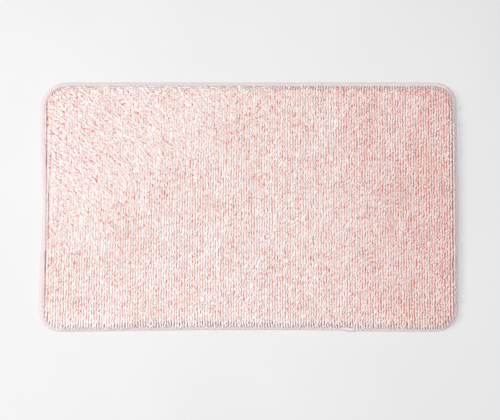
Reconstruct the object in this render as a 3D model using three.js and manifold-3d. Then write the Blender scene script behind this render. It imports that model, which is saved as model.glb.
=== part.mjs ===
// A tufted bath mat: pile on a woven scrim, a latex coat and a non-slip rubber back, with an overlocked edge.
// Millimetres, +Z up. X runs along the mat, and the yarn rows run along Y, from the front edge (-Y) to the
// back. The origin is on the floor, under the middle of the mat.

import * as THREE from "three";
import { mergeVertices } from "three/addons/utils/BufferGeometryUtils.js";
import Module from "manifold-3d";

const wasm = await Module();
wasm.setup();

// ---- Outline, seen from above ----
const matLength = 750;
const matDepth = 447;
const frontLeftRadius = 38;
const frontRightRadius = 41;
const backRightRadius = 39;
const backLeftRadius = 46;
const cornerSteps = 8;

// ---- Sides that the overlock's pull leaves less than straight ----
const frontDrawnIn = 3.6;
const leftDrawnIn = 5.2;
const rightBulge = 2.4;
const broadBow = 0.6; // exponents that spread a bow along its side, or gather it in the middle
const plainBow = 1;
const gatheredBow = 2;
const bowSteps = 8;

// ---- Layers, from the floor up ----
const rubberThickness = 1.2;
const latexThickness = 0.5;
const scrimThickness = 0.8;
const pileHeight = 12;
const layerGap = 0.1;

// ---- Overlocked edge ----
const looperThickness = 0.9; // of the two looper threads, as they lie on the cloth
const overlockWidth = 5.6; // from the rim to the needle line
const needleThreadWidth = 1.2;
const needleThreadHeight = 0.7;
const threadGap = 0.3; // between a thread and what it lies against
const rimSteps = 4;

// ---- The join on the front edge, where the overlock ends on its own start ----
const joinX = 176;
const joinOverlap = 24; // how far the last stitches run over the first ones
const joinThickness = 0.7;
const joinRamp = 2; // length of the step in the rim
const shareDrawnPastJoin = 0.5; // of the front bow, where the first stitches lie

// ---- Pile ----
const bandCount = 16; // bands of neighbouring yarn rows
const bandGap = 0.3;
const pileEdgeRound = 3; // where the outermost tufts splay
const pileEdgeSteps = 3;
const gripInset = 3; // from the needle line to the moulded grip under the mat

// ---- Heights and insets that follow ----
const gripDepth = looperThickness + layerGap; // as deep as the thread that wraps under the edge
const rubberTop = gripDepth + rubberThickness;
const latexBottom = rubberTop + layerGap;
const latexTop = latexBottom + latexThickness;
const scrimBottom = latexTop + layerGap;
const scrimTop = scrimBottom + scrimThickness;
const upperSeat = scrimTop + layerGap; // what lies on the scrim starts here
const lowerSeat = gripDepth - layerGap; // what lies under the rubber ends here
const rimMiddle = (gripDepth + scrimTop) / 2;
const clothInset = looperThickness + threadGap; // the cut edge of the layers, inside the threads
const needleInset = overlockWidth + threadGap;
const pileInset = needleInset + needleThreadWidth + threadGap;

const leftX = -matLength / 2;
const rightX = matLength / 2 - rightBulge;
const frontY = -matDepth / 2;
const backY = matDepth / 2;

// Each corner with the side that follows it, counter-clockwise from the front left. A bow is positive
// inwards.
const corners = [
  { x: leftX, y: frontY, radius: frontLeftRadius, bow: frontDrawnIn, spread: broadBow, join: joinX },
  { x: rightX, y: frontY, radius: frontRightRadius, bow: -rightBulge, spread: plainBow },
  { x: rightX, y: backY, radius: backRightRadius, bow: 0 },
  { x: leftX, y: backY, radius: backLeftRadius, bow: leftDrawnIn, spread: gatheredBow },
];

function cornerArc({ x, y, radius }, quarter, inset) {
  const centreX = x - Math.sign(x) * radius;
  const centreY = y - Math.sign(y) * radius;
  return Array.from({ length: cornerSteps + 1 }, (_, i) => {
    const angle = (quarter + 2 + i / cornerSteps) * (Math.PI / 2);
    return new THREE.Vector2(
      centreX + (radius - inset) * Math.cos(angle),
      centreY + (radius - inset) * Math.sin(angle),
    );
  });
}

// The points between two corners. A bow leaves both corners along their tangents, and steps at the join.
function sidePoints({ bow, spread, join }, from, to) {
  if (bow === 0) {
    return [];
  }
  const shares = Array.from({ length: bowSteps - 1 }, (_, i) => (i + 1) / bowSteps);
  const length = from.distanceTo(to);
  const joinShare = join === undefined ? Infinity : (join - from.x) / length;
  if (join !== undefined) {
    shares.push(joinShare - joinRamp / 2 / length, joinShare + joinRamp / 2 / length);
    shares.sort((a, b) => a - b);
  }
  const inward = to.clone().sub(from).normalize().rotateAround(new THREE.Vector2(), Math.PI / 2);
  return shares.map((share) => {
    const wave = (1 - Math.cos(2 * Math.PI * share)) / 2;
    const depth = bow * wave ** spread * (share > joinShare ? shareDrawnPastJoin : 1);
    return from.clone().lerp(to, share).addScaledVector(inward, depth);
  });
}

// The mat's outline, counter-clockwise, moved in by inset.
function outline(inset) {
  const arcs = corners.map((corner, k) => cornerArc(corner, k, inset));
  return corners.flatMap((corner, k) => {
    const next = arcs[(k + 1) % corners.length];
    return [...arcs[k], ...sidePoints(corner, arcs[k].at(-1), next[0])];
  });
}

// A flat layer of the mat, from bottom to top.
function layer(inset, bottom, top) {
  const shape = new THREE.Shape(outline(inset));
  const slab = new THREE.ExtrudeGeometry(shape, { depth: top - bottom, bevelEnabled: false });
  return slab.translate(0, 0, bottom);
}

// A closed ring that follows the outline. Its section is a list of [inset, height], going up outside, in over
// the top, down inside and out along the bottom.
function ring(section) {
  const loops = section.map(([inset, height]) => outline(inset).map((p) => [p.x, p.y, height]));
  const around = loops[0].length;
  const index = [];
  for (let s = 0; s < loops.length; s++) {
    const here = s * around;
    const next = ((s + 1) % loops.length) * around;
    for (let i = 0; i < around; i++) {
      const j = (i + 1) % around;
      index.push(here + i, here + j, next + j, here + i, next + j, next + i);
    }
  }
  const geometry = new THREE.BufferGeometry();
  geometry.setAttribute("position", new THREE.Float32BufferAttribute(loops.flat(2), 3));
  return geometry.setIndex(index);
}

// A quarter round in a ring's section, about [inset, height].
function quarterRound(inset, height, radius, fromAngle) {
  return Array.from({ length: rimSteps + 1 }, (_, i) => {
    const angle = fromAngle + (i / rimSteps) * (Math.PI / 2);
    return [inset - radius * Math.cos(angle), height + radius * Math.sin(angle)];
  });
}

function solidOf(geometry) {
  const bare = geometry.clone().deleteAttribute("normal").deleteAttribute("uv");
  const merged = mergeVertices(bare, 1e-4);
  const vertProperties = merged.attributes.position.array;
  const triVerts = new Uint32Array(merged.index.array);
  return new wasm.Manifold(new wasm.Mesh({ numProp: 3, vertProperties, triVerts }));
}

function geometryOf(solid) {
  const { vertProperties, triVerts } = solid.getMesh();
  const geometry = new THREE.BufferGeometry();
  geometry.setAttribute("position", new THREE.BufferAttribute(vertProperties, 3));
  geometry.setIndex(new THREE.BufferAttribute(triVerts, 1));
  geometry.computeVertexNormals();
  return geometry;
}

// A block between two opposite corners, to cut with.
function block(low, high) {
  const size = high.map((h, k) => h - low[k]);
  const middle = high.map((h, k) => (h + low[k]) / 2);
  return solidOf(new THREE.BoxGeometry(...size).translate(...middle));
}

const materials = {
  pile: new THREE.MeshStandardMaterial({ color: 0xf2d3cd, roughness: 0.95, metalness: 0 }),
  thread: new THREE.MeshStandardMaterial({ color: 0xe6ccd0, roughness: 0.7, metalness: 0 }),
  scrim: new THREE.MeshStandardMaterial({ color: 0xe9c3bc, roughness: 0.9, metalness: 0 }),
  latex: new THREE.MeshStandardMaterial({ color: 0xe8e2d6, roughness: 0.6, metalness: 0 }),
  rubber: new THREE.MeshStandardMaterial({ color: 0xece9e3, roughness: 0.5, metalness: 0 }),
};

function piece(name, geometry, material) {
  const mesh = new THREE.Mesh(geometry, material);
  mesh.name = name;
  return mesh;
}

// The rubber sheet, with the raised field of its moulded grip under all but the stitched border.
function nonSlipBacking() {
  const sheet = solidOf(layer(clothInset, gripDepth, rubberTop));
  const grip = solidOf(layer(pileInset + gripInset, 0, gripDepth));
  return piece("non_slip_backing", geometryOf(sheet.add(grip)), materials.rubber);
}

function latexCoat() {
  return piece("latex_coat", layer(clothInset, latexBottom, latexTop), materials.latex);
}

function wovenScrim() {
  return piece("woven_scrim", layer(clothInset, scrimBottom, scrimTop), materials.scrim);
}

// The thread that lies under the edge, from the needle line out and up to the rim's middle.
function lowerLooperThread() {
  const section = [
    ...quarterRound(looperThickness, lowerSeat, looperThickness, -Math.PI / 2),
    [0, rimMiddle - layerGap],
    [looperThickness, rimMiddle - layerGap],
    [looperThickness, lowerSeat],
    [overlockWidth, lowerSeat],
    [overlockWidth, lowerSeat - looperThickness],
  ];
  return piece("overlock_lower_looper_thread", ring(section), materials.thread);
}

// The thread that lies over the edge, from the needle line out and down to the rim's middle.
function upperLooperThread() {
  const section = [
    [0, rimMiddle + layerGap],
    ...quarterRound(looperThickness, upperSeat, looperThickness, 0),
    [overlockWidth, upperSeat + looperThickness],
    [overlockWidth, upperSeat],
    [looperThickness, upperSeat],
    [looperThickness, rimMiddle + layerGap],
  ];
  return piece("overlock_upper_looper_thread", ring(section), materials.thread);
}

// The straight stitches that hold both looper threads, along the inner side of the overlock.
function needleThread() {
  const innerInset = needleInset + needleThreadWidth;
  const shoulder = needleThreadHeight / 2;
  const section = [
    [needleInset, upperSeat],
    [needleInset, upperSeat + shoulder],
    [needleInset + needleThreadWidth / 4, upperSeat + needleThreadHeight],
    [innerInset - needleThreadWidth / 4, upperSeat + needleThreadHeight],
    [innerInset, upperSeat + shoulder],
    [innerInset, upperSeat],
  ];
  return piece("overlock_needle_thread", ring(section), materials.thread);
}

// The last stitches of the overlock, which lie over the first ones.
function overlockJoin() {
  const inside = -threadGap;
  const outside = inside - joinThickness;
  const seat = upperSeat + looperThickness + threadGap;
  const section = [
    [outside, layerGap],
    [outside, seat],
    [outside + joinThickness / 2, seat + joinThickness],
    [overlockWidth, seat + joinThickness],
    [overlockWidth, seat],
    [inside, seat],
    [inside, layerGap],
  ];
  const low = [joinX - joinOverlap / 2, 2 * frontY, 0];
  const high = [joinX + joinOverlap / 2, 0, seat + 2 * joinThickness];
  const stretch = solidOf(ring(section)).intersect(block(low, high));
  return piece("overlock_join", geometryOf(stretch), materials.thread);
}

// The whole field of pile with its splayed upper edge. It starts below the scrim's top, where the bands' cut
// takes off its lower bevel.
function pileField() {
  const shape = new THREE.Shape(outline(pileInset));
  const field = new THREE.ExtrudeGeometry(shape, {
    depth: pileHeight - pileEdgeRound,
    bevelSize: pileEdgeRound,
    bevelThickness: pileEdgeRound,
    bevelOffset: -pileEdgeRound,
    bevelSegments: pileEdgeSteps,
  });
  return solidOf(field.translate(0, 0, upperSeat));
}

// Each band holds a few neighbouring rows of pile yarn, numbered from the left.
function pileBands() {
  const field = pileField();
  const start = leftX + pileInset;
  const pitch = (rightX + rightBulge - pileInset - start) / bandCount;
  return Array.from({ length: bandCount }, (_, i) => {
    const low = [start + i * pitch + bandGap / 2, 2 * frontY, upperSeat];
    const high = [start + (i + 1) * pitch - bandGap / 2, 2 * backY, upperSeat + 2 * pileHeight];
    const name = `pile_band_${String(i + 1).padStart(2, "0")}`;
    return piece(name, geometryOf(field.intersect(block(low, high))), materials.pile);
  });
}

const bathMat = new THREE.Group();
bathMat.add(
  nonSlipBacking(),
  latexCoat(),
  wovenScrim(),
  lowerLooperThread(),
  upperLooperThread(),
  needleThread(),
  overlockJoin(),
  ...pileBands(),
);

export default bathMat;
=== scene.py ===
"""A tufted bath mat: rows of thick yarn on a woven scrim, an overlocked edge and a non-slip rubber back.

Metres, +Z up. The mat lies on the floor with its long side along X, and the yarn rows run along Y. Every
size that isn't a setting below comes from the packed frame.
"""

import math

import bmesh
import bpy
import numpy as np
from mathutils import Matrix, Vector


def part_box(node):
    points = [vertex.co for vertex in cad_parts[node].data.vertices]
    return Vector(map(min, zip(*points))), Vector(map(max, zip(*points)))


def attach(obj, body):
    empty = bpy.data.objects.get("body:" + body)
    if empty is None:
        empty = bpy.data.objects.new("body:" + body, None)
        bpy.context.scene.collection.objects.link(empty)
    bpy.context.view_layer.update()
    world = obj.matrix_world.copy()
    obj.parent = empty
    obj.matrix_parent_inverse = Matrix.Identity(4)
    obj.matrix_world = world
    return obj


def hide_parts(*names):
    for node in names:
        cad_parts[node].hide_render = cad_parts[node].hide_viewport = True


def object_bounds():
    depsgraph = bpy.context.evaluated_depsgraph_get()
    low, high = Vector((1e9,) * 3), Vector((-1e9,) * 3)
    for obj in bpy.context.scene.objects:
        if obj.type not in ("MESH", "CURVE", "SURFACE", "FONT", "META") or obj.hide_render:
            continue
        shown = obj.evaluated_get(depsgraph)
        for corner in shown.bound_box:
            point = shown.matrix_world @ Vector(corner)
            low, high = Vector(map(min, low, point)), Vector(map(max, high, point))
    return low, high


bl_info = {
    "name": "Tufted Bath Mat",
    "version": (1, 0, 0),
    "blender": (4, 5, 0),
    "location": "View3D > Sidebar > Bath Mat",
    "description": "Builds a tufted bath mat with an overlocked edge and a non-slip back",
    "category": "Object",
}

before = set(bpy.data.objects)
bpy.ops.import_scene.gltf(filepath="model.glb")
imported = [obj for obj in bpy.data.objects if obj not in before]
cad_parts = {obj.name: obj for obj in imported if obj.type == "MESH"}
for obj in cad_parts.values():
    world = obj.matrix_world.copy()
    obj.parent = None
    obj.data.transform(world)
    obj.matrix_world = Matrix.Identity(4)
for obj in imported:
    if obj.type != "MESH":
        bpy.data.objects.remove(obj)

MM = 0.001
ROOT = "root"
BANDS = sorted(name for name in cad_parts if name.startswith("pile_band_"))
UPPER, LOWER = "overlock_upper_looper_thread", "overlock_lower_looper_thread"
NEEDLE, JOIN = "overlock_needle_thread", "overlock_join"
BAKE_MAP = "OFBake"  # the map that a finish is baked on: one strip serves every yarn of the same tone

MAT_LOW, MAT_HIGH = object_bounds()
SCRIM_LOW, SCRIM_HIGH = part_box("woven_scrim")
PILE_LOW, PILE_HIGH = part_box(BANDS[0])
UPPER_LOW, UPPER_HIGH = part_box(UPPER)
LOWER_LOW, LOWER_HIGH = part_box(LOWER)
NEEDLE_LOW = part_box(NEEDLE)[0]
RIM_TO_SCRIM = SCRIM_LOW.x - UPPER_LOW.x
RIM_TO_PILE = PILE_LOW.x - UPPER_LOW.x
RIM_TO_NEEDLE = NEEDLE_LOW.x - UPPER_LOW.x
FLOOR_RAY = 1.0  # how far under the floor a ray from below starts


# ---------- settings ----------


def length(name, description, default, unit="LENGTH", **limits):
    return bpy.props.FloatProperty(
        name=name, description=description, default=default, unit=unit, precision=5, **limits
    )


def share(name, description, default, **limits):
    return bpy.props.FloatProperty(name=name, description=description, default=default, **limits)


def colour(name, description, default):
    return bpy.props.FloatVectorProperty(
        name=name, description=description, default=default, size=3, min=0, max=1, subtype="COLOR"
    )


class PileSettings(bpy.types.PropertyGroup):
    """Sizes and colours of the pile."""

    gauge: length("Row gauge", "Distance between neighbouring yarn rows", 4.6 * MM)
    stitch: length("Stitch length", "Distance between neighbouring tufts of one row", 3.4 * MM)
    height: length("Pile height", "Length of a tuft above the scrim", PILE_HIGH.z - PILE_LOW.z)
    yarn_radius: length("Yarn radius", "Half of the thickness of one tuft at its tip", 2.25 * MM)
    jitter: length("Jitter", "How far a tuft may stand from its place in the row", 0.3 * MM)
    lean: share("Lean", "How far the tufts lean along their row, in radians", 1.0)
    stretches: share("Stretches", "How much the lean differs from row to row, beside its patches", 0.8)
    unruly: share("Unruliness", "How far each tuft leans its own way, in radians", 0.22)
    splay: share("Splay", "How far the tufts at the short sides lean outwards, in radians", 0.3)
    patch: length("Patch size", "Size of the patches that lean together", 55 * MM)
    # The root colour is the yarn's pink, darkened and deepened: painted shade deep in the pile.
    root_shade_colour: colour("Root shade colour", "Yarn colour deep in the pile", (0.70, 0.26, 0.22))
    body_colour: colour("Body colour", "Yarn colour halfway up a tuft", (0.94, 0.86, 0.825))
    tip_colour: colour("Tip colour", "Colour of the palest tips", (0.90, 0.92, 0.92))
    # The blush colour is both pinker tips and painted shade: it is darker than a pinker dye alone, and most
    # of it shows at the shaded right end.
    blush_and_shade_colour: colour("Blush and shade colour", "Colour of the pinkest tips", (0.60, 0.455, 0.46))
    # Painted light: the pile is paler towards the window light on the left.
    painted_falloff: share("Fading", "How much paler the pile is at its left end than in the middle", 0.16)
    seed: bpy.props.IntProperty(name="Seed", description="Picks another growth of the pile", default=7)


class OverlockSettings(bpy.types.PropertyGroup):
    """Sizes and colours of the overlocked edge."""

    stitch: length("Stitch length", "Distance between neighbouring overlock stitches", 4.6 * MM)
    thread_width: length("Thread width", "Width of a looper thread as it lies on the cloth", 1.9 * MM)
    thread_height: length("Thread height", "Thickness of a looper thread on the cloth", 0.86 * MM)
    needle_width: length("Needle thread", "Width of the needle thread", 1.0 * MM)
    wander: length("Wander", "How far the stitches stray from the rim", 0.35 * MM)
    light: colour("Light colour", "Colour of the thread's raised filaments", (0.85, 0.76, 0.78))
    # The colour between the filaments is painted shade in the thread's grooves.
    groove_shade: colour("Groove shade colour", "Colour between the thread's filaments", (0.70, 0.53, 0.57))


class BackingSettings(bpy.types.PropertyGroup):
    """Sizes and colours of the layers under the pile."""

    dot_pitch: length("Dot pitch", "Distance between neighbouring grip dots", 10.5 * MM)
    dot_radius: length("Dot radius", "Radius of a grip dot at its foot", 2.1 * MM)
    rubber: colour("Rubber colour", "Colour of the non-slip backing", (0.80, 0.78, 0.74))
    latex: colour("Latex colour", "Colour of the coat that locks the yarn", (0.78, 0.72, 0.62))
    scrim: colour("Scrim colour", "Colour of the woven cloth", (0.80, 0.57, 0.55))
    weave: length("Weave pitch", "Distance between neighbouring threads of the scrim", 1.2 * MM)


class StageSettings(bpy.types.PropertyGroup):
    """Floor, lights and camera."""

    distance: length("Camera distance", "From the camera to the middle of the mat", 2.396)
    elevation: share("Elevation", "Angle of the camera above the floor, in degrees", 86.5)
    lens: share("Lens", "Focal length in millimetres", 96.4)
    key: share("Window light", "Power of the soft light on the left, in watts", 53.0)
    ceiling: share("Ceiling light", "Power of the wide light overhead, in watts", 59.0)
    fill: share("Room light", "Strength of the even light of the room", 0.35)
    floor: colour("Floor colour", "Colour of the floor", (0.665, 0.665, 0.665))


def labelled(settings):
    """The settings by their names in the panel, which the trees' inputs share."""
    labels = settings.bl_rna.properties
    return {labels[key].name: getattr(settings, key) for key in settings.__annotations__}


SETTINGS = {
    "mat_pile": PileSettings,
    "mat_overlock": OverlockSettings,
    "mat_backing": BackingSettings,
    "mat_stage": StageSettings,
}


# ---------- node trees ----------


class Graph:
    """Adds nodes to a tree. An input given as a socket is linked, and any other value is set."""

    def __init__(self, tree):
        self.tree = tree
        tree.nodes.clear()

    def add(self, kind, inputs=None, **settings):
        node = self.tree.nodes.new(kind)
        for name, value in settings.items():
            setattr(node, name, value)
        for key, value in (inputs or {}).items():
            self.join(value, node.inputs[key])
        return node

    def out(self, kind, inputs=None, **settings):
        """The first output of a new node."""
        return self.add(kind, inputs, **settings).outputs[0]

    def join(self, value, socket):
        if isinstance(value, bpy.types.NodeSocket):
            self.tree.links.new(value, socket)
        else:
            socket.default_value = value

    def math(self, operation, *values):
        return self.out("ShaderNodeMath", dict(enumerate(values)), operation=operation)

    def linear(self, value, slope, start):
        return self.math("MULTIPLY_ADD", value, slope, start)

    def product(self, *values):
        total = values[0]
        for value in values[1:]:
            total = self.math("MULTIPLY", total, value)
        return total

    def smooth(self, value, low, high, to_low=0.0, to_high=1.0):
        """Eases from to_low to to_high as value goes from low to high."""
        inputs = dict(enumerate((value, low, high, to_low, to_high)))
        return self.out("ShaderNodeMapRange", inputs, interpolation_type="SMOOTHSTEP")

    def vector(self, x=0.0, y=0.0, z=0.0):
        return self.out("ShaderNodeCombineXYZ", {0: x, 1: y, 2: z})

    def parts(self, vector):
        return self.add("ShaderNodeSeparateXYZ", {0: vector}).outputs

    def times(self, vector, factor):
        """A vector times a number, or times another vector part by part."""
        if isinstance(factor, tuple):
            inputs, operation = {0: vector, 1: factor}, "MULTIPLY"
        else:
            inputs, operation = {0: vector, 3: factor}, "SCALE"
        return self.out("ShaderNodeVectorMath", inputs, operation=operation)

    def plus(self, *vectors):
        total = vectors[0]
        for vector in vectors[1:]:
            total = self.out("ShaderNodeVectorMath", {0: total, 1: vector})
        return total

    def noise(self, vector, scale, detail=0.0, output=0):
        inputs = {"Vector": vector, "Scale": scale, "Detail": detail}
        return self.add("ShaderNodeTexNoise", inputs).outputs[output]

    def swing(self, vector, scale, detail=0.0):
        """Smooth noise with parts from about -1 to 1."""
        centred = self.plus(self.noise(vector, scale, detail, "Color"), (-0.5, -0.5, -0.5))
        return self.times(centred, 3.0)


class GeometryGraph(Graph):
    """A Geometry Nodes tree with named inputs. It ends in Realize Instances and Set Material."""

    def __init__(self, name, numbers=(), counts=()):
        super().__init__(bpy.data.node_groups.new(name, "GeometryNodeTree"))
        face = self.tree.interface
        face.new_socket("Geometry", in_out="OUTPUT", socket_type="NodeSocketGeometry")
        face.new_socket("Geometry", in_out="INPUT", socket_type="NodeSocketGeometry")
        for label in numbers:
            face.new_socket(label, in_out="INPUT", socket_type="NodeSocketFloat")
        for label in counts:
            face.new_socket(label, in_out="INPUT", socket_type="NodeSocketInt")
        face.new_socket("Material", in_out="INPUT", socket_type="NodeSocketMaterial")
        self.given = self.add("NodeGroupInput").outputs

    def random(self, low, high, salt, of=None):
        """A number from the band's seed for each element, or for each value of another field."""
        inputs = {2: low, 3: high, 8: self.math("ADD", self.given["Band seed"], salt)}
        if of is not None:
            inputs[7] = of
        return self.add("FunctionNodeRandomValue", inputs, data_type="FLOAT").outputs[1]

    def store(self, geometry, name, value, domain="POINT", kind="FLOAT"):
        inputs = {"Geometry": geometry, "Name": name, "Value": value}
        return self.out("GeometryNodeStoreNamedAttribute", inputs, domain=domain, data_type=kind)

    def read(self, name, kind="FLOAT"):
        return self.out("GeometryNodeInputNamedAttribute", {"Name": name}, data_type=kind)

    def index(self):
        return self.out("GeometryNodeInputIndex")

    def position(self):
        return self.parts(self.out("GeometryNodeInputPosition"))

    def moved(self, geometry, **how):
        """The geometry at another Position, or shifted by an Offset."""
        return self.out("GeometryNodeSetPosition", {"Geometry": geometry, **how})

    def without(self, geometry, selection):
        """The geometry less its selected points."""
        inputs = {"Geometry": geometry, "Selection": selection}
        return self.out("GeometryNodeDeleteGeometry", inputs, domain="POINT")

    def upright(self, curve):
        """The curve with its cross-section kept level, so that a flat thread lies flat."""
        return self.out("GeometryNodeSetCurveNormal", {"Curve": curve}, mode="Z_UP")

    def grid(self, columns, rows, pitch_x, pitch_y):
        """Points in a rectangle round the origin, one column after the other."""
        inputs = {"Vertices X": columns, "Vertices Y": rows}
        for axis, count, pitch in (("X", columns, pitch_x), ("Y", rows, pitch_y)):
            inputs["Size " + axis] = self.product(self.math("SUBTRACT", count, 1.0), pitch)
        return self.out("GeometryNodeMeshGrid", inputs)

    def ray(self, source, direction):
        """Looks from source along direction, up to two metres, for the input geometry."""
        inputs = {
            "Target Geometry": self.given["Geometry"],
            "Source Position": source,
            "Ray Direction": direction,
            "Ray Length": 2.0,
        }
        return self.add("GeometryNodeRaycast", inputs).outputs

    def ray_from_below(self, x, y):
        return self.ray(self.vector(x, y, -FLOOR_RAY), (0.0, 0.0, 1.0))

    def tube(self, curve, sides, radius, scale, squash=1.0):
        """A closed tube along each curve, with the attribute turn, the angle round the tube."""
        circle = self.out("GeometryNodeCurvePrimitiveCircle", {"Resolution": sides, "Radius": radius})
        flattened = {"Geometry": circle, "Scale": self.vector(1.0, squash, 1.0)}
        turn = self.product(self.out("GeometryNodeSplineParameter"), math.tau)
        outline = self.store(self.out("GeometryNodeTransform", flattened), "turn", turn)
        inputs = {"Curve": curve, "Profile Curve": outline, "Scale": scale, "Fill Caps": True}
        return self.out("GeometryNodeCurveToMesh", inputs)

    def end(self, geometry):
        """Finishes the tree, and returns it."""
        whole = self.out("GeometryNodeRealizeInstances", {0: geometry})
        shaded = self.out("GeometryNodeSetShadeSmooth", {"Geometry": whole, "Shade Smooth": True})
        inputs = {"Geometry": shaded, "Material": self.given["Material"]}
        self.add("NodeGroupOutput", {0: self.out("GeometryNodeSetMaterial", inputs)})
        return self.tree


def grown(host, tree, **values):
    """The host, with what the tree makes of it as its plain mesh."""
    modifier = host.modifiers.new(tree.name, "NODES")
    modifier.node_group = tree
    for item in tree.interface.items_tree:
        if item.in_out == "INPUT" and item.name in values:
            modifier[item.identifier] = values[item.name]
    host.update_tag()
    depsgraph = bpy.context.evaluated_depsgraph_get()
    mesh = bpy.data.meshes.new_from_object(
        host.evaluated_get(depsgraph), preserve_all_data_layers=True, depsgraph=depsgraph
    )
    host.modifiers.clear()
    host.data = mesh
    mesh.name = host.name
    return host


# ---------- plain meshes ----------


def new_object(name, mesh):
    obj = bpy.data.objects.new(name, mesh)
    bpy.context.scene.collection.objects.link(obj)
    return obj


def rim_outline(inset, step=1.5 * MM, rounding=5):
    """The mat's outline moved in by inset, counter-clockwise, as an array of points a step apart.

    It follows the scrim's own corners, evened out over a few steps so that no facet shows.
    """
    corners = np.array([v.co[:2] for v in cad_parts["woven_scrim"].data.vertices])
    corners = np.unique(corners.round(6), axis=0)
    corners = corners[np.argsort(np.arctan2(corners[:, 1], corners[:, 0]))]
    closed = np.vstack([corners, corners[:1]])
    along = np.concatenate([[0], np.cumsum(np.linalg.norm(np.diff(closed, axis=0), axis=1))])
    count = round(along[-1] / step)
    places = np.linspace(0, along[-1], count, endpoint=False)
    line = np.column_stack([np.interp(places, along, closed[:, k]) for k in (0, 1)])
    for _ in range(rounding):
        line = (np.roll(line, 1, 0) + 2 * line + np.roll(line, -1, 0)) / 4
    tangent = np.roll(line, -1, 0) - np.roll(line, 1, 0)
    inward = np.column_stack([-tangent[:, 1], tangent[:, 0]])
    inward /= np.linalg.norm(inward, axis=1)[:, None]
    return line + inward * (inset - RIM_TO_SCRIM)


def line_object(name, points, cyclic=True):
    """A mesh of edges only, for a tree to follow."""
    mesh = bpy.data.meshes.new(name)
    edges = [(i, i + 1) for i in range(len(points) - 1)]
    if cyclic:
        edges.append((len(points) - 1, 0))
    mesh.from_pydata([(x, y, 0) for x, y in points], edges, [])
    return new_object(name, mesh)


def slab(name, outline, low, high, edge_round):
    """A flat layer between two heights, with rounded-over edges."""
    count = len(outline)
    middle = outline.mean(axis=0)
    reach = np.linalg.norm(outline - middle, axis=1)[:, None]
    rings = [
        (edge_round, low),
        (0.3 * edge_round, low + 0.3 * edge_round),
        (0.0, low + edge_round),
        (0.0, high - edge_round),
        (0.3 * edge_round, high - 0.3 * edge_round),
        (edge_round, high),
    ]
    points = []
    for inset, height in rings:
        ring = outline - (outline - middle) / reach * inset
        points += [(x, y, height) for x, y in ring]
    faces = [tuple(reversed(range(count))), tuple(range(5 * count, 6 * count))]
    for k in range(len(rings) - 1):
        for i in range(count):
            j = (i + 1) % count
            faces.append((k * count + i, k * count + j, (k + 1) * count + j, (k + 1) * count + i))
    mesh = bpy.data.meshes.new(name)
    mesh.from_pydata(points, [], faces)
    work = bmesh.new()
    work.from_mesh(mesh)
    bmesh.ops.triangulate(work, faces=[f for f in work.faces if len(f.verts) > 4])
    work.to_mesh(mesh)
    work.free()
    return new_object(name, mesh)


def joined(first, *others):
    """Adds the other objects' meshes to the first one's."""
    work = bmesh.new()
    for obj in (first, *others):
        work.from_mesh(obj.data)
    work.to_mesh(first.data)
    work.free()
    for obj in others:
        bpy.data.objects.remove(obj)
    return first


def clad(piece, material):
    """Gives all of a piece one material."""
    piece.data.materials.clear()
    piece.data.materials.append(material)
    return piece


def declare(piece, node):
    """Fastens a finished piece to the mat's one body, in place of its CAD node."""
    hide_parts(node)
    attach(piece, ROOT)
    return piece


# ---------- materials ----------

WHITE = (1, 1, 1)
SHEEN_TINT = (1.0, 0.93, 0.91)
# Painted shade between the yarn's fibres: the colour is multiplied by this where the fibre bump lies low.
SHADE = (0.97, 0.90, 0.885)  # what the colour keeps between the yarn's fibres


def new_material(name):
    material = bpy.data.materials.new(name)
    material.use_nodes = True
    return material, Graph(material.node_tree)


def surface(graph, base, bump=None, bump_height=0.0, roughness=0.8, specular=0.3, sheen=0.0, tint=WHITE):
    """Ends a material in one shader. What is the same all over is set on the shader itself."""
    inputs = {
        "Base Color": base,
        "Roughness": roughness,
        "Specular IOR Level": specular,
        "Sheen Weight": sheen,
        "Sheen Roughness": 0.45,
        "Sheen Tint": (*tint, 1),
    }
    if bump is not None:
        raised = {"Height": bump, "Distance": bump_height, "Strength": 1.0}
        inputs["Normal"] = graph.out("ShaderNodeBump", raised)
    shader = graph.add("ShaderNodeBsdfPrincipled", inputs)
    graph.add("ShaderNodeOutputMaterial", {"Surface": shader.outputs[0]})


def mixed(graph, factor, first, second):
    """One colour blended into another. A colour is a setting or a socket."""
    inputs = {0: factor}
    for index, value in ((6, first), (7, second)):
        inputs[index] = value if isinstance(value, bpy.types.NodeSocket) else (*value, 1)
    return graph.add("ShaderNodeMix", inputs, data_type="RGBA").outputs[2]


def attribute(graph, name, output="Fac"):
    return graph.add("ShaderNodeAttribute", attribute_name=name).outputs[output]


def own_place(graph):
    """A point's place on its own piece, in metres."""
    return graph.add("ShaderNodeTexCoord").outputs["Object"]


def darker(colour, share):
    return tuple(share * part for part in colour)


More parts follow.
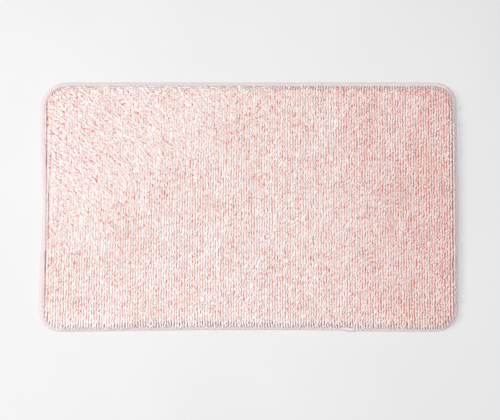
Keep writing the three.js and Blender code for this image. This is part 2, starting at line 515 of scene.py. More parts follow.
def yarn_material(settings):
    """Soft microfibre yarn, deep pink at the root and nearly white at the tip: the deep pink low in the pile
    is painted shade, and the white on up-facing tips is a painted highlight.
    """
    material, graph = new_material("pile yarn")
    along, upward, tone = (attribute(graph, name) for name in ("along", "upward", "tone"))
    ring = attribute(graph, "ring", "Vector")
    lengthwise = graph.vector(graph.product(tone, 31.0), 0.0, graph.product(along, 1.6))
    fibres = graph.noise(graph.plus(graph.times(ring, 3.2), lengthwise), 2.2, 4.0)
    reach = graph.math("ADD", along, graph.product(graph.math("SUBTRACT", tone, 0.5), 0.2))
    # Painted shade: lower down each tuft the colour turns to the darker, pinker root colour, where the tufts
    # shade each other.
    deep = mixed(graph, graph.smooth(reach, 0.35, 0.8), settings.root_shade_colour, settings.body_colour)
    tip = mixed(graph, tone, settings.blush_and_shade_colour, settings.tip_colour)
    # Painted highlight: the pale tip colour shows only where the tip faces up, towards the lights; the sides
    # keep the darker colour.
    pale = graph.product(graph.smooth(reach, 0.64, 0.93), graph.smooth(upward, 0.62, 0.9))
    whole = mixed(graph, pale, deep, tip)
    # Painted shade: darker where the fibre bump lies low, between the fibres.
    base = mixed(graph, graph.smooth(fibres, 0.3, 0.7), graph.times(whole, SHADE), whole)
    surface(graph, base, fibres, 0.5 * MM, 0.9, specular=0.15, sheen=0.18, tint=SHEEN_TINT)
    return material


def thread_material(settings):
    """Textured overlock thread: twisted filaments, with painted shade in the grooves between them."""
    material, graph = new_material("overlock thread")
    upward, along = attribute(graph, "upward"), attribute(graph, "along")
    twist = graph.linear(upward, 3.0, graph.product(along, 6.0))
    filaments = graph.math("PINGPONG", twist, 0.5)
    fuzz_place = graph.vector(graph.product(upward, 9.0), graph.product(along, 4.0))
    fuzz = graph.noise(fuzz_place, 3.0, 3.0)
    height = graph.linear(fuzz, 0.5, filaments)
    # Painted shade: the colour darkens where the filament bump lies low, in the grooves.
    base = mixed(graph, graph.smooth(height, 0.1, 0.65), settings.groove_shade, settings.light)
    surface(graph, base, height, 0.25 * MM, 0.7, specular=0.25, sheen=0.2)
    return material


def scrim_material(settings):
    """Plain weave of flat threads, over and under by turns, with painted shade where the threads dip."""
    material, graph = new_material("woven scrim")
    place = own_place(graph)
    x, y, _ = graph.parts(place)
    waves = [graph.math("SINE", graph.product(across, math.pi / settings.weave)) for across in (x, y)]
    threads = graph.math("ABSOLUTE", graph.product(*waves))
    speckle = graph.noise(place, 900.0, 2.0)
    height = graph.math("ADD", threads, graph.product(speckle, 0.3))
    # Painted shade: darker where the weave lies low, between the threads; the speckle adds random grain.
    base = mixed(graph, graph.smooth(height, 0.1, 0.8), darker(settings.scrim, 0.6), settings.scrim)
    surface(graph, base, height, 0.3 * MM, 0.85, sheen=0.1)
    return material


def latex_material(settings):
    """Dull foamed latex with small pores."""
    material, graph = new_material("latex coat")
    place = own_place(graph)
    pores = graph.add("ShaderNodeTexVoronoi", {"Vector": place, "Scale": 700.0}).outputs["Distance"]
    stains = graph.noise(place, 60.0, 3.0)
    paler = tuple(min(1.0, 1.12 * c) for c in settings.latex)
    base = mixed(graph, graph.smooth(stains, 0.35, 0.65), settings.latex, paler)
    surface(graph, base, pores, 0.2 * MM, 0.75)
    return material


def rubber_material(settings, gauge):
    """Matt non-slip rubber. The yarn's back stitches show through it as faint ribs."""
    material, graph = new_material("non-slip rubber")
    place = own_place(graph)
    x = graph.parts(place)[0]
    ribs = graph.math("SINE", graph.product(x, math.tau / gauge))
    grain = graph.noise(place, 1400.0, 2.0)
    wear = graph.noise(place, 25.0, 4.0)
    height = graph.math("ADD", graph.product(ribs, 0.25), grain)
    base = mixed(graph, graph.smooth(wear, 0.35, 0.7), settings.rubber, darker(settings.rubber, 0.88))
    surface(graph, base, height, 0.15 * MM, 0.55, specular=0.4)
    return material


# ---------- pile ----------

TONES = 16  # steps of yarn tone, each with its own strip of the bake map
BODY_TONE = 4.0 / TONES
YARN_SIDES = 6
YARN_RINGS = 5
RING_GATHER = 2.1  # how much a tuft's rings gather towards its tip
TIP_ROUND = 9.0  # how late a tuft rounds off
TUFT_FLATNESS = 0.76  # thickness to width
LONGER = 0.13  # how much longer a tuft is for each squared radian that it leans
MOST_LEAN = 1.4  # radians
SIDE_BAND = 9 * MM  # where the tufts feel the pile's short sides
END_BAND = 18 * MM  # where they feel its long sides
SIDE_HOLD = 0.7  # how much of a tuft's lean the short sides take away
END_HOLD = 0.65
OVERHANG = 0.32  # radians, of the front tufts over the border
ROW_STRETCHES = 26.0  # leaning stretches in a metre of a row
RUBBED_ACROSS = (0.64, 0.77)  # the way in which the rubbed corner's streaks part
RUBBED_LEAN = (1.0, 0.35, 0.0)  # radians
BODY_SHARE = 0.77  # of the pile's height
BODY_WIDTH = 0.78  # of a row body's height
BODY_SINK = 0.75  # how much lower a row body is at the short sides
MIDDLE_TONE = 0.64
OWN_TONE = 0.3  # how much paler or darker a tuft may be than its place
# Painted light: the tufts at the long sides are paler, which lifts their shade.
END_TONE = 0.2  # how much paler it is at the long sides
# Painted shade: the right end is darker, where the window light falls off.
RIGHT_PAINTED_SHADE = 0.5  # how much darker at the right end
RUBBED_TONE = 0.14  # how much darker in the rubbed corner


def pile_tree():
    """Grows tufts in rows over the input geometry, each a thick yarn that bends as it rises."""
    numbers = ("Gauge", "Stitch length", "Middle X", "Root height", "Pile height", "Yarn radius", "Jitter")
    numbers += ("Lean", "Stretches", "Unruliness", "Splay", "Fading", "Patch size", "Half length")
    graph = GeometryGraph("pile rows", numbers, ("Rows", "Tufts", "Seed", "Band seed"))
    roots = sown_roots(graph)
    x, y, _ = graph.position()
    to_side, to_end = graph.math("SIGN", x), graph.math("SIGN", y)
    at_side = edge_pull(graph, graph.vector(to_side), SIDE_BAND)
    at_end = edge_pull(graph, graph.vector(0.0, to_end), END_BAND)
    at_corner = edge_pull(graph, graph.vector(to_side, to_end), SIDE_BAND)
    at_rim = graph.math("MAXIMUM", at_side, at_corner)
    at_rim = graph.math("MAXIMUM", at_rim, graph.product(at_end, 0.2))
    for name, value in (("at side", at_side), ("at end", at_end), ("at rim", at_rim)):
        roots = graph.store(roots, name, value)
    roots = graph.store(roots, "lean", lean_of(graph), kind="FLOAT_VECTOR")
    roots = graph.store(roots, "tone", tone_of(graph))
    roots = graph.store(roots, "girth", graph.random(0.88, 1.12, 7))
    whole = graph.add("GeometryNodeJoinGeometry")
    for part in (tuft_tubes(graph, roots), row_bodies(graph, roots)):
        graph.tree.links.new(part, whole.inputs[0])
    mapped = with_bake_map(graph, whole.outputs[0], graph.read("tone"), 1.0 / TONES, YARN_SIDES)
    return graph.end(mapped)


def sown_roots(graph):
    """Points where the yarn comes through the scrim: straight rows, each begun at its own place."""
    given = graph.given
    grid = graph.grid(given["Rows"], given["Tufts"], given["Gauge"], given["Stitch length"])
    row = graph.math("FLOOR", graph.math("DIVIDE", graph.index(), given["Tufts"]))
    marked = graph.store(grid, "row", row)
    x, y, _ = graph.position()
    row_place = graph.vector(graph.product(row, 5.3), graph.product(y, 40.0), given["Band seed"])
    wander = graph.product(graph.parts(graph.swing(row_place, 1.0))[0], given["Jitter"], 0.4)
    stray_x = graph.math("ADD", graph.product(graph.random(-1.0, 1.0, 1), given["Jitter"]), wander)
    stray_y = graph.product(graph.random(-1.3, 1.3, 2), given["Jitter"])
    row_start = graph.random(-0.5, 0.5, 0, row)
    shift_x = graph.math("ADD", given["Middle X"], stray_x)
    shift_y = graph.linear(row_start, given["Stitch length"], stray_y)
    placed = graph.moved(marked, Offset=graph.vector(shift_x, shift_y))
    return graph.without(placed, graph.math("SUBTRACT", 1.0, graph.ray_from_below(x, y)["Is Hit"]))


def edge_pull(graph, outward, depth):
    """1 at the pile's edge, easing to 0 a depth further in."""
    x, y, _ = graph.position()
    source = graph.vector(x, y, graph.math("ADD", graph.given["Root height"], 5 * MM))
    return graph.smooth(graph.ray(source, outward)["Hit Distance"], 0.0, depth, 1.0, 0.0)


def lean_of(graph):
    """Which way a tuft leans, in radians at its tip: along its row, outwards at the edge, and its own."""
    given = graph.given
    x, y, _ = graph.position()
    place = graph.vector(x, y, graph.product(given["Seed"], 0.37))
    patch = graph.swing(place, graph.math("DIVIDE", 1.0, given["Patch size"]), 2.0)
    # Each row has stretches that lean more than those of its neighbours.
    row_shift = graph.product(graph.read("row"), 3.7)
    row_place = graph.vector(row_shift, graph.product(y, ROW_STRETCHES), given["Band seed"])
    stretch = graph.times(graph.swing(row_place, 1.0), given["Stretches"])
    side, ahead, _ = graph.parts(graph.plus(patch, stretch))
    combed = graph.vector(graph.product(side, 0.14), graph.linear(ahead, 0.5, -1.0))
    combed = graph.times(combed, given["Lean"])
    own = graph.vector(graph.random(-1.0, 1.0, 3), graph.random(-1.0, 1.0, 4))
    own = graph.times(own, given["Unruliness"])
    lean_x, lean_y, _ = graph.parts(graph.plus(combed, own, rubbed_lean(graph, x, y)))
    at_side, at_end = graph.read("at side"), graph.read("at end")
    held_x = graph.product(lean_x, graph.linear(at_side, -SIDE_HOLD, 1.0))
    held_y = graph.product(lean_y, graph.linear(at_end, -END_HOLD, 1.0))
    outward = graph.product(graph.math("SIGN", x), at_side, given["Splay"])
    overhang = graph.product(graph.math("LESS_THAN", y, 0.0), at_end, OVERHANG)
    lean = graph.vector(graph.math("ADD", held_x, outward), graph.math("SUBTRACT", held_y, overhang))
    amount = graph.add("ShaderNodeVectorMath", {0: lean}, operation="LENGTH").outputs["Value"]
    share_left = graph.math("DIVIDE", MOST_LEAN, graph.math("MAXIMUM", amount, 0.01))
    return graph.times(lean, graph.math("MINIMUM", share_left, 1.0))


def rubbed_corner(graph, x, y):
    """1 at the back left corner, easing to 0 towards the middle of the mat."""
    return graph.smooth(graph.math("SUBTRACT", graph.product(y, 1.2), x), 0.08, 0.4)


def rubbed_lean(graph, x, y):
    """The lean of the tufts in the corner that has been rubbed slantwise, parted in streaks."""
    way_x, way_y = RUBBED_ACROSS
    slant = graph.math("SUBTRACT", graph.product(x, way_y), graph.product(y, way_x))
    across = graph.linear(x, way_x, graph.product(y, way_y))
    streak_place = graph.vector(graph.product(slant, 60.0), graph.product(across, 210.0))
    streak = graph.parts(graph.swing(streak_place, 1.0))[0]
    parted = graph.times(graph.vector(way_x, way_y), graph.product(streak, 0.7))
    return graph.times(graph.plus(parted, RUBBED_LEAN), rubbed_corner(graph, x, y))


def tone_of(graph):
    """How pale a tuft is, in steps from 0 to 1: partly its own, partly its place's, and painted light that
    makes it paler at the left end and darker at the right, as the window light falls off.
    """
    x, y, _ = graph.position()
    place = graph.vector(x, y, graph.product(graph.given["Seed"], 0.61))
    own = graph.linear(graph.noise(place, 28.0, 2.0), 0.2, graph.random(-OWN_TONE, OWN_TONE, 5))
    # Painted light: paler at the long sides, lifting the shade on the edge tufts.
    own = graph.linear(graph.read("at end"), END_TONE, own)
    # Painted light: paler towards the window on the left, with painted shade that deepens towards the right
    # end.
    to_right = graph.math("DIVIDE", x, graph.given["Half length"])
    right_painted_shade = graph.smooth(to_right, 0.15, 1.0, 0.0, RIGHT_PAINTED_SHADE)
    painted_light_tone = graph.linear(to_right, graph.given["Fading"], right_painted_shade)
    painted_light_tone = graph.math("ADD", painted_light_tone, graph.product(rubbed_corner(graph, x, y), RUBBED_TONE))
    tone = graph.math("SUBTRACT", graph.math("ADD", own, MIDDLE_TONE), painted_light_tone)
    held = graph.math("MINIMUM", graph.math("MAXIMUM", tone, 0.0), 0.999)
    step = graph.math("FLOOR", graph.product(held, float(TONES)))
    return graph.math("DIVIDE", step, float(TONES))


def tuft_tubes(graph, roots):
    """A thick yarn on each root. It bends evenly as it rises, and its rings gather towards the round tip."""
    given = graph.given
    line = graph.out("GeometryNodeCurvePrimitiveLine", {"Start": (0, 0, 0), "End": (0, 0, MM)})
    fine = graph.out("GeometryNodeResampleCurve", {"Curve": line, "Count": YARN_RINGS})
    tufts = graph.out("GeometryNodeInstanceOnPoints", {"Points": roots, "Instance": fine})
    curves = graph.out("GeometryNodeRealizeInstances", {0: tufts})
    step = graph.out("GeometryNodeSplineParameter")
    left = graph.math("POWER", graph.math("SUBTRACT", 1.0, step), RING_GATHER)
    t = graph.math("SUBTRACT", 1.0, left)
    lean_x, lean_y, _ = graph.parts(graph.read("lean", "FLOAT_VECTOR"))
    bend = graph.math("ADD", graph.product(lean_x, lean_x), graph.product(lean_y, lean_y))
    # A tuft that lies over is one that was cut a little longer.
    size = graph.linear(bend, LONGER, graph.random(0.95, 1.06, 6))
    size = graph.product(size, given["Pile height"])
    reach = graph.product(t, t, 0.5, size)
    rise = graph.product(t, size, graph.math("SUBTRACT", 1.0, graph.product(bend, t, t, 1 / 6)))
    x, y, _ = graph.position()
    bent = graph.vector(
        graph.linear(lean_x, reach, x),
        graph.linear(lean_y, reach, y),
        graph.math("ADD", given["Root height"], rise),
    )
    # Spline parameters change with the shape, so the share along each tuft is kept before it bends.
    # At the rim each tuft is paler along its length: less of the painted shade deep in the pile, where the
    # outer tufts stand open.
    paler = graph.linear(t, 0.3, 0.7)
    kept = graph.store(curves, "along", graph.smooth(graph.read("at rim"), 0.0, 1.0, t, paler))
    shaped = graph.moved(kept, Position=bent)
    turned = graph.product(graph.read("girth"), 40.0)
    tilted = graph.out("GeometryNodeSetCurveTilt", {"Curve": shaped, "Tilt": turned})
    along = graph.read("along")
    swell = graph.linear(along, 0.22, 0.8)
    round_tip = graph.math("SQRT", graph.linear(graph.math("POWER", along, TIP_ROUND), -0.96, 1.0))
    scale = graph.product(swell, round_tip, graph.read("girth"))
    return graph.tube(tilted, YARN_SIDES, given["Yarn radius"], scale, TUFT_FLATNESS)


def row_bodies(graph, roots):
    """The lower part of each row, where the yarn's fibres fill the room between the tufts."""
    given = graph.given
    x, y, _ = graph.position()
    cloud = graph.out("GeometryNodeMeshToPoints", {"Mesh": roots})
    inputs = {"Points": cloud, "Curve Group ID": graph.read("row"), "Weight": y}
    lines = graph.out("GeometryNodePointsToCurves", inputs)
    inputs = {"Curve": lines, "Length": given["Stitch length"]}
    fine = graph.out("GeometryNodeResampleCurve", inputs, mode="LENGTH")
    # At the sides it stays low, so that the outermost tufts stand free.
    lower = graph.linear(graph.read("at side"), -BODY_SINK, 1.0)
    half = graph.product(given["Pile height"], BODY_SHARE, 0.5)
    lift = graph.vector(z=graph.linear(half, lower, given["Root height"]))
    marked = graph.store(fine, "lower", lower)
    marked = graph.store(marked, "mottle", graph.product(y, 200.0))
    upright = graph.upright(graph.moved(marked, Offset=lift))
    to_right = graph.math("DIVIDE", x, given["Half length"])
    # Painted shade: the bodies turn deeper towards the right end, where the window light falls off, and
    # paler at the rim, where the pile lies open.
    right_body_shade = graph.smooth(to_right, 0.2, 1.0, 0.0, 0.15)
    paler = graph.linear(graph.read("at rim"), 0.5, graph.product(right_body_shade, -1.0))
    marked = graph.store(upright, "along", graph.math("ADD", graph.random(0.38, 0.9, 9), paler))
    marked = graph.store(marked, "tone", BODY_TONE)
    to_end = graph.math("PINGPONG", graph.out("GeometryNodeSplineParameter"), 0.5)
    taper = graph.smooth(to_end, 0.0, 0.02, 0.45, 1.0)
    size = graph.product(taper, graph.read("lower"), graph.random(0.82, 1.1, 8))
    return graph.tube(marked, YARN_SIDES, graph.product(half, BODY_WIDTH), size, 1.0 / BODY_WIDTH)


def with_bake_map(graph, mesh, start, width, sides):
    """Adds the attribute upward, and the bake map: across it how far a face looks up, up it the length.

    Upward is 1 where the yarn faces up, 0.5 on upright sides and 0 underneath. The caps at a tube's ends
    have their own small outline, so that no face of them has zero size.
    """
    facing = graph.parts(graph.out("GeometryNodeInputNormal"))[2]
    mesh = graph.store(mesh, "upward", graph.linear(facing, 0.5, 0.5))
    turn = graph.read("turn")
    cosine, sine = graph.math("COSINE", turn), graph.math("SINE", turn)
    ring = graph.vector(cosine, sine, graph.read("mottle"))
    mesh = graph.store(mesh, "ring", ring, kind="FLOAT_VECTOR")
    corners = graph.add("GeometryNodeCornersOfFace").outputs["Total"]
    all_sides = {0: graph.math("COMPARE", corners, float(sides), 0.1)}
    is_cap = graph.out("GeometryNodeFieldOnDomain", all_sides, domain="FACE", data_type="FLOAT")
    side_u = graph.linear(graph.read("upward"), 0.8, 0.1)
    side_v = graph.linear(graph.read("along"), 0.94, 0.02)
    map_u = graph.linear(graph.product(cosine, 0.04), is_cap, side_u)
    map_v = graph.linear(graph.product(sine, 0.012), is_cap, side_v)
    place = graph.vector(graph.linear(map_u, width, start), map_v)
    return graph.store(mesh, BAKE_MAP, place, "CORNER", "FLOAT2")


def make_pile(settings):
    tree = pile_tree()
    outline = rim_outline(RIM_TO_PILE, step=4 * MM, rounding=2)
    shared = {
        **labelled(settings),
        "Half length": MAT_HIGH.x,
        "Tufts": math.ceil((MAT_HIGH.y - MAT_LOW.y) / settings.stitch),
        "Material": yarn_material(settings),
    }
    for number, name in enumerate(BANDS):
        low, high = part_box(name)
        rows = round((high.x - low.x) / settings.gauge)
        host = slab(name.replace("band", "yarn_rows"), outline, low.z, high.z, 0.1 * MM)
        values = {
            "Gauge": (high.x - low.x) / (rows - 0.05),
            "Middle X": (low.x + high.x) / 2,
            "Root height": low.z,
            "Rows": rows,
            "Band seed": settings.seed + 20 * number,
        }
        declare(grown(host, tree, **shared, **values), name)


# ---------- overlocked edge ----------

STITCH_STEPS = 10
THREAD_SIDES = 6
RIM_ROUND = 1.9 * MM
SEAM_CROWN = 0.3 * MM  # how high a needle stitch rises between its holes
KNOT_SIZE = 3 * MM
THREAD_ENDS = ((5.5 * MM, -1.0), (4.0 * MM, 0.6))  # length, and the way each drifts


def stitched_line(graph):
    """The input line as a curve of STITCH_STEPS points to a stitch, and the stitches sewn up to each."""
    curve = graph.out("GeometryNodeMeshToCurve", {"Mesh": graph.given["Geometry"]})
    count = graph.product(graph.given["Stitches"], STITCH_STEPS)
    fine = graph.out("GeometryNodeResampleCurve", {"Curve": curve, "Count": count})
    return fine, graph.math("DIVIDE", graph.index(), float(STITCH_STEPS))


def laid_beside(graph, line, phase, inset, height):
    """Moves a line inwards and up, and keeps its place in the stitch for the thread's twist."""
    tangent_x, tangent_y, _ = graph.parts(graph.out("GeometryNodeInputTangent"))
    offset = graph.vector(graph.product(tangent_y, -1.0, inset), graph.product(tangent_x, inset), height)
    marked = graph.store(line, "along", graph.math("PINGPONG", phase, 1.0))
    return graph.moved(marked, Offset=offset)


def looper_tree():
    """Lays a looper thread to and fro across the rim: from the needle line out over the edge and back."""
    numbers = ("Width", "Flat height", "Rim height", "Rim inset", "Rim round", "Phase", "Wander")
    numbers += ("Thread width", "Flatness")
    graph = GeometryGraph("looper thread", numbers, ("Stitches",))
    given = graph.given
    line, sewn = stitched_line(graph)
    phase = graph.math("ADD", sewn, given["Phase"])
    crossed = graph.linear(graph.math("COSINE", graph.product(phase, math.tau)), -0.5, 0.5)
    stray = graph.parts(graph.swing(graph.out("GeometryNodeInputPosition"), 90.0, 2.0))
    span = graph.math("SUBTRACT", given["Width"], given["Rim inset"])
    inset = graph.linear(crossed, span, given["Rim inset"])
    inset = graph.linear(stray[0], given["Wander"], inset)
    # The edge is a quarter round: the thread stays flat until it is a rim's round from the edge.
    from_rim = graph.math("SUBTRACT", inset, given["Rim inset"])
    into_round = graph.smooth(from_rim, 0.0, given["Rim round"], 1.0, 0.0)
    arch = graph.math("SQRT", graph.math("SUBTRACT", 1.0, graph.math("POWER", into_round, 2.0)))
    height_span = graph.math("SUBTRACT", given["Flat height"], given["Rim height"])
    height = graph.linear(arch, height_span, given["Rim height"])
    laid = graph.upright(laid_beside(graph, line, phase, inset, height))
    swell = graph.linear(stray[1], 0.08, 1.0)
    half = graph.product(given["Thread width"], 0.5)
    mesh = graph.tube(laid, THREAD_SIDES, half, swell, given["Flatness"])
    return graph.end(with_bake_map(graph, mesh, 0.0, 1.0, THREAD_SIDES))


def needle_tree():
    """Sews straight stitches along a line, which dip through the cloth between one and the next."""
    numbers = ("Flat height", "Low height", "Inset", "Thread width")
    graph = GeometryGraph("needle thread", numbers, ("Stitches",))
    given = graph.given
    line, sewn = stitched_line(graph)
    to_hole = graph.math("PINGPONG", sewn, 0.5)
    height = graph.smooth(to_hole, 0.02, 0.16, given["Low height"], given["Flat height"])
    crown = graph.product(graph.smooth(to_hole, 0.1, 0.5), SEAM_CROWN)
    laid = laid_beside(graph, line, sewn, given["Inset"], graph.math("ADD", height, crown))
    mesh = graph.tube(laid, THREAD_SIDES, graph.product(given["Thread width"], 0.5), 1.0)
    return graph.end(with_bake_map(graph, mesh, 0.0, 1.0, THREAD_SIDES))


def looper_values(settings, material, upper=True):
    """How a looper thread lies on its side of the edge."""
    half = settings.thread_height / 2
    middle = (UPPER_LOW.z + LOWER_HIGH.z) / 2
    flat = UPPER_HIGH.z - half if upper else LOWER_LOW.z + half
    return {
        **labelled(settings),
        "Width": RIM_TO_NEEDLE,
        "Flat height": flat,
        "Rim height": middle + (half if upper else -half),
        "Rim inset": half,
        "Rim round": RIM_ROUND,
        "Phase": 0.0 if upper else 0.5,
        "Flatness": settings.thread_height / settings.thread_width,
        "Material": material,
    }


def perimeter(points):
    return float(np.linalg.norm(np.roll(points, -1, 0) - points, axis=1).sum())


def make_overlock(settings):
    material = thread_material(settings)
    rim = rim_outline(0.0)
    stitches = round(perimeter(rim) / settings.stitch)
    tree = looper_tree()
    for name, upper in ((UPPER, True), (LOWER, False)):
        host = line_object(name.replace("_thread", ""), rim)
        values = {**looper_values(settings, material, upper), "Stitches": stitches}
        declare(grown(host, tree, **values), name)
    host = line_object("overlock_needle_line", rim)
    values = {
        "Flat height": NEEDLE_LOW.z + settings.needle_width / 2,
        "Low height": LOWER_HIGH.z - settings.needle_width,
        "Inset": RIM_TO_NEEDLE + settings.needle_width / 2,
        "Thread width": settings.needle_width,
        "Stitches": stitches,
        "Material": material,
    }
    declare(grown(host, needle_tree(), **values), NEEDLE)
    make_join(settings, tree, material, rim)


def knot_points(centre, size, count=60):
    """A small overhand knot: a closed trefoil."""
    turns = np.linspace(0, math.tau, count, endpoint=False)
    x = np.sin(turns) + 2 * np.sin(2 * turns)
    y = np.cos(turns) - 2 * np.cos(2 * turns)
    z = -np.sin(3 * turns)
    return np.column_stack([x, y, z]) * size / 6 + centre


def thread_end_points(start, reach, drift, count=9):
    """A cut end that lies a little aside from the knot, in a slight wave."""
    steps = np.linspace(0, 1, count)[:, None]
    path = start + steps * np.array([drift * reach, 0.35 * reach, 0.0])
    path[:, 1] += 0.5 * MM * np.sin(5 * steps[:, 0])
    return path


def tube_along(name, points, radius, cyclic):
    """A round thread along points, as a plain mesh, with the attributes that the thread's material reads."""
    data = bpy.data.curves.new(name, "CURVE")
    data.dimensions = "3D"
    data.bevel_depth = radius
    data.bevel_resolution = 1
    data.use_fill_caps = not cyclic
    spline = data.splines.new("POLY")
    spline.points.add(len(points) - 1)
    for point, place in zip(spline.points, points):
        point.co = (*place, 1)
    spline.use_cyclic_u = cyclic
    curve = bpy.data.objects.new(name, data)
    mesh = bpy.data.meshes.new_from_object(curve)
    bpy.data.objects.remove(curve)
    for label in ("along", "upward"):
        values = mesh.attributes.new(label, "FLOAT", "POINT")
        values.data.foreach_set("value", np.linspace(0, 8, len(mesh.vertices)) % 1)
    return new_object(name, mesh)


def make_join(settings, tree, material, rim):
    """The last stitches over the first ones, with the knot and the two cut thread ends."""
    low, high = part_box(JOIN)
    on_front = (rim[:, 1] < 0) & (rim[:, 0] > low.x) & (rim[:, 0] < high.x)
    stretch = rim[on_front]
    stretch = stretch[np.argsort(stretch[:, 0])]
    host = line_object("overlock_join_stitches", stretch, cyclic=False)
    values = {
        **looper_values(settings, material),
        "Stitches": round((high.x - low.x) / settings.stitch * 1.3),
        "Flat height": high.z - settings.thread_height / 2,
        "Rim inset": -settings.thread_height / 2,
        "Phase": 0.25,
    }
    stitches = grown(host, tree, **values)
    edge_x, edge_y = stretch[len(stretch) // 3]
    radius = settings.needle_width / 2
    start = np.array([edge_x, edge_y + 0.6 * MM, high.z - radius])
    threads = [tube_along("knot", knot_points(start, KNOT_SIZE), radius * 0.7, True)]
    for reach, drift in THREAD_ENDS:
        path = thread_end_points(start, reach, drift)
        threads.append(tube_along("thread_end", path, radius * 0.55, False))
    piece = clad(joined(stitches, *threads), material)
    piece.data.shade_smooth()
    declare(piece, JOIN)


# ---------- layers under the pile ----------

DOT_SIDES = 8
GRIP_DEPTH = 1.0 * MM


def dot_tree():
    """Covers the grip field under the input geometry with low round dots in staggered rows."""
    graph = GeometryGraph("grip dots", ("Dot pitch", "Dot radius", "Depth"), ("Columns", "Dot rows"))
    given = graph.given
    row_pitch = graph.product(given["Dot pitch"], math.sqrt(3) / 2)
    grid = graph.grid(given["Columns"], given["Dot rows"], given["Dot pitch"], row_pitch)
    odd = graph.math("MODULO", graph.math("MODULO", graph.index(), given["Dot rows"]), 2.0)
    placed = graph.moved(grid, Offset=graph.vector(graph.product(odd, given["Dot pitch"], 0.5)))
    x, y, z = graph.position()
    hit = graph.ray_from_below(x, y)
    # The field's face is the lowest one, at the floor.
    off_the_field = graph.math("GREATER_THAN", hit["Hit Distance"], FLOOR_RAY + 0.2 * MM)
    missed = graph.math("SUBTRACT", 1.0, hit["Is Hit"])
    inside = graph.without(placed, graph.math("MAXIMUM", off_the_field, missed))
    inputs = {
        "Vertices": DOT_SIDES,
        "Side Segments": 2,
        "Radius Top": graph.product(given["Dot radius"], 0.66),
        "Radius Bottom": given["Dot radius"],
        "Depth": given["Depth"],
    }
    cone = graph.out("GeometryNodeMeshCone", inputs)
    halfway = graph.math("PINGPONG", graph.math("DIVIDE", z, given["Depth"]), 0.5)
    bulge = graph.linear(halfway, 0.28, 1.0)
    dot = graph.moved(cone, Position=graph.vector(graph.product(x, bulge), graph.product(y, bulge), z))
    down = graph.out("FunctionNodeEulerToRotation", {0: (math.pi, 0, 0)})
    inputs = {"Points": inside, "Instance": dot, "Rotation": down}
    dots = graph.out("GeometryNodeInstanceOnPoints", inputs)
    lift = graph.vector(z=given["Depth"])
    return graph.end(graph.out("GeometryNodeTransform", {"Geometry": dots, "Translation": lift}))


def make_backing(settings, gauge):
    low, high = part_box("non_slip_backing")
    sheet_low = LOWER_LOW.z + GRIP_DEPTH
    sheet = slab("non_slip_sheet", rim_outline(RIM_TO_SCRIM), sheet_low, high.z, 0.3 * MM)
    material = rubber_material(settings, gauge)
    dots = new_object("grip_dots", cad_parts["non_slip_backing"].data.copy())
    values = {
        **labelled(settings),
        "Depth": sheet_low - low.z + 0.02 * MM,
        "Columns": math.ceil((high.x - low.x) / settings.dot_pitch),
        "Dot rows": math.ceil((high.y - low.y) / (settings.dot_pitch * math.sqrt(3) / 2)),
        "Material": material,
    }
    grown(dots, dot_tree(), **values)
    declare(clad(joined(sheet, dots), material), "non_slip_backing")


def make_layer(name, node, material):
    low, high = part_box(node)
    piece = slab(name, rim_outline(RIM_TO_SCRIM), low.z, high.z, 0.15 * MM)
    return declare(clad(piece, material), node)


def make_scrim(settings):
    piece = make_layer("scrim_cloth", "woven_scrim", scrim_material(settings))
    outline = rim_outline(RIM_TO_SCRIM)


# ---------- stage ----------


FLOOR_REACH = 40.0  # metres each way
WINDOW_PLACE, WINDOW_WIDTH = (-2.4, -0.2, 2.4), 1.2
CEILING_PLACE, CEILING_WIDTH = (-0.15, 0.0, 2.9), 1.4
AIM = Vector((1.3 * MM, -6.6 * MM, MAT_HIGH.z / 2))


def make_floor(settings):
    mesh = bpy.data.meshes.new("floor")
    corners = [(x * FLOOR_REACH, y * FLOOR_REACH, 0) for x, y in ((-1, -1), (1, -1), (1, 1), (-1, 1))]
    mesh.from_pydata(corners, [], [(0, 1, 2, 3)])
    material, graph = new_material("floor")
    mottle = graph.noise(own_place(graph), 3.0, 4.0)
    base = mixed(graph, graph.smooth(mottle, 0.3, 0.7), darker(settings.floor, 0.97), settings.floor)
    surface(graph, base, roughness=0.7, specular=0.2)
    clad(new_object("floor", mesh), material)


def make_light(name, watts, width, place):
    """A square soft light that faces the mat."""
    light = bpy.data.lights.new(name, "AREA")
    light.shape = "SQUARE"
    light.size = width
    light.energy = watts
    lamp = new_object(name, light)
    lamp.location = place
    lamp.rotation_euler = (-lamp.location).to_track_quat("-Z", "Y").to_euler()


def make_camera(settings):
    data = bpy.data.cameras.new("camera")
    data.lens = settings.lens
    camera = new_object("camera", data)
    rise = math.radians(settings.elevation)
    back = Vector((0, -math.cos(rise), math.sin(rise)))
    camera.location = AIM + back * settings.distance
    camera.rotation_euler = (-back).to_track_quat("-Z", "Y").to_euler()
    bpy.context.scene.camera = camera


def make_stage(settings):
    make_floor(settings)
    world = bpy.data.worlds.new("room")
    world.use_nodes = True
    world.node_tree.nodes["Background"].inputs["Color"].default_value = (*WHITE, 1)
    world.node_tree.nodes["Background"].inputs["Strength"].default_value = settings.fill
    bpy.context.scene.world = world
    bpy.context.scene.view_settings.view_transform = "Standard"
    make_light("window", settings.key, WINDOW_WIDTH, WINDOW_PLACE)
    make_light("ceiling", settings.ceiling, CEILING_WIDTH, CEILING_PLACE)
    make_camera(settings)


# ---------- operators and panel ----------


class MakeBacking(bpy.types.Operator):
    """Makes the non-slip sheet with its grip dots, and the latex coat"""

    bl_idname = "bath_mat.backing"
    bl_label = "Non-slip back"

    def execute(self, context):
        settings = context.scene.mat_backing
        make_backing(settings, context.scene.mat_pile.gauge)
        make_layer("latex_layer", "latex_coat", latex_material(settings))
        return {"FINISHED"}


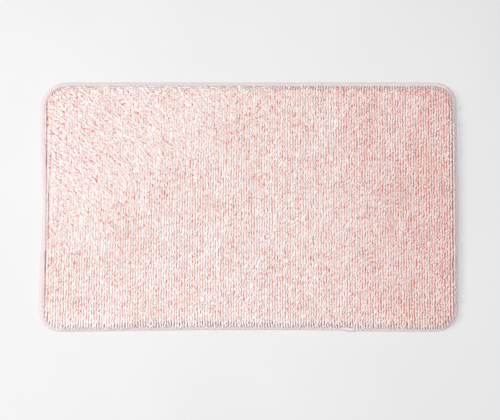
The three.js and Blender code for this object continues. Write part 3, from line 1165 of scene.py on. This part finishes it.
class MakeScrim(bpy.types.Operator):
    """Makes the woven cloth that the yarn is tufted through"""

    bl_idname = "bath_mat.scrim"
    bl_label = "Woven scrim"

    def execute(self, context):
        make_scrim(context.scene.mat_backing)
        return {"FINISHED"}


class MakeOverlock(bpy.types.Operator):
    """Sews the edge with two looper threads and a needle thread, and joins their ends"""

    bl_idname = "bath_mat.overlock"
    bl_label = "Overlocked edge"

    def execute(self, context):
        make_overlock(context.scene.mat_overlock)
        return {"FINISHED"}


class MakePile(bpy.types.Operator):
    """Tufts the rows of pile yarn, one piece for each band of rows"""

    bl_idname = "bath_mat.pile"
    bl_label = "Pile"

    def execute(self, context):
        make_pile(context.scene.mat_pile)
        return {"FINISHED"}


class MakeStage(bpy.types.Operator):
    """Sets the floor, the lights and the camera"""

    bl_idname = "bath_mat.stage"
    bl_label = "Stage"

    def execute(self, context):
        make_stage(context.scene.mat_stage)
        return {"FINISHED"}


OPERATORS = (MakeStage, MakeBacking, MakeScrim, MakeOverlock, MakePile)


class BathMatPanel(bpy.types.Panel):
    """Lists the steps that build the mat, and their settings."""

    bl_idname = "VIEW3D_PT_bath_mat"
    bl_label = "Bath Mat"
    bl_space_type = "VIEW_3D"
    bl_region_type = "UI"
    bl_category = "Bath Mat"

    def draw(self, context):
        for operator in OPERATORS:
            self.layout.operator(operator.bl_idname)
        for name, group in SETTINGS.items():
            box = self.layout.box()
            box.label(text=group.__doc__)
            for label in group.__annotations__:
                box.prop(getattr(context.scene, name), label)


def register():
    for group in SETTINGS.values():
        bpy.utils.register_class(group)
    for name, group in SETTINGS.items():
        setattr(bpy.types.Scene, name, bpy.props.PointerProperty(type=group))
    for cls in (*OPERATORS, BathMatPanel):
        bpy.utils.register_class(cls)


def unregister():
    for cls in reversed((*OPERATORS, BathMatPanel)):
        bpy.utils.unregister_class(cls)
    for name, group in SETTINGS.items():
        delattr(bpy.types.Scene, name)
        bpy.utils.unregister_class(group)


def main():
    register()
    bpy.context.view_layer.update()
    for operator in OPERATORS:
        group, name = operator.bl_idname.split(".")
        getattr(getattr(bpy.ops, group), name)()
    bpy.context.view_layer.update()


if __name__ == "__main__":
    main()
